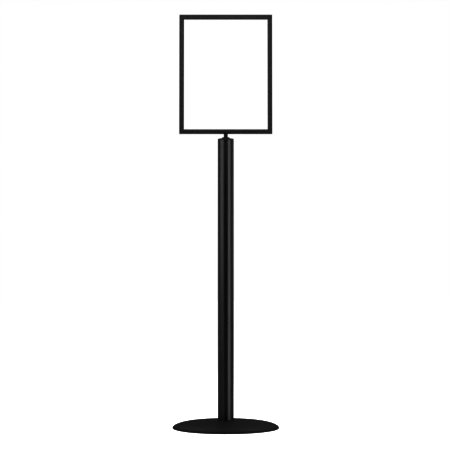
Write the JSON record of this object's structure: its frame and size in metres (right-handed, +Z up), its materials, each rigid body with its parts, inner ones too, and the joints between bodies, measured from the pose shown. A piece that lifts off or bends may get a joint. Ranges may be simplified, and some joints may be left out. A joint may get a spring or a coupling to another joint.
{
  "type": "sign stand",
  "caption": "Freestanding sign stand: weighted round domed base, slotted round column and an open rectangular sign frame that swivels on a short stem.",
  "frame": {"origin": "centre of the base on the floor", "axes": "+Z up along the column; the sign frame lies in the XZ plane at rest and its front faces -Y; +X is to the right seen from the front"},
  "size_m": [0.3338, 0.3338, 1.3055],
  "materials": {
    "black_powder_coat": "satin black powder coat with a fine grain",
    "black_frame_coat": "satin black powder coat on extruded aluminium rails",
    "black_anodised_aluminium": "black anodised, fine lengthwise extrusion lines",
    "black_plastic": "moulded, matte black",
    "black_rubber": "matte black rubber",
    "cast_iron": "rough as cast, dark",
    "zinc_plated_steel": "bright zinc plate",
    "white_nylon": "natural nylon"
  },
  "bodies": {
    "stand": {"base_edge_ring": "black_rubber", "base_cover": "black_powder_coat", "base_weight": "cast_iron", "base_bolt": "zinc_plated_steel", "base_lock_washer": "zinc_plated_steel", "base_washer": "zinc_plated_steel", "post_foot_insert": "zinc_plated_steel", "post_extrusion": "black_anodised_aluminium", "post_top_cap": "black_plastic", "stem_upper_bush": "white_nylon", "stem_lower_bush": "white_nylon", "swivel_thrust_washer": "black_plastic"},
    "sign_head": {"stem": "black_powder_coat", "stem_collar": "black_powder_coat", "stem_retaining_washer": "zinc_plated_steel", "stem_lock_nut": "zinc_plated_steel", "stem_backing_plate": "zinc_plated_steel", "stem_fixing_screw": "zinc_plated_steel", "frame_bottom_rail": "black_frame_coat", "frame_right_rail": "black_frame_coat", "frame_top_rail": "black_frame_coat", "frame_left_rail": "black_frame_coat", "corner_key_bottom_left": "zinc_plated_steel", "corner_key_bottom_right": "zinc_plated_steel", "corner_key_top_right": "zinc_plated_steel", "corner_key_top_left": "zinc_plated_steel", "key_screw_bottom_left_x": "zinc_plated_steel", "key_screw_bottom_left_z": "zinc_plated_steel", "key_screw_bottom_right_x": "zinc_plated_steel", "key_screw_bottom_right_z": "zinc_plated_steel", "key_screw_top_right_x": "zinc_plated_steel", "key_screw_top_right_z": "zinc_plated_steel", "key_screw_top_left_x": "zinc_plated_steel", "key_screw_top_left_z": "zinc_plated_steel"}
  },
  "joints": [
    {"name": "sign_swivel", "type": "hinge", "parent": "stand", "child": "sign_head", "pos_m": [0, 0, 0.911], "axis": [0, 0, 1], "continuous": true}
  ]
}
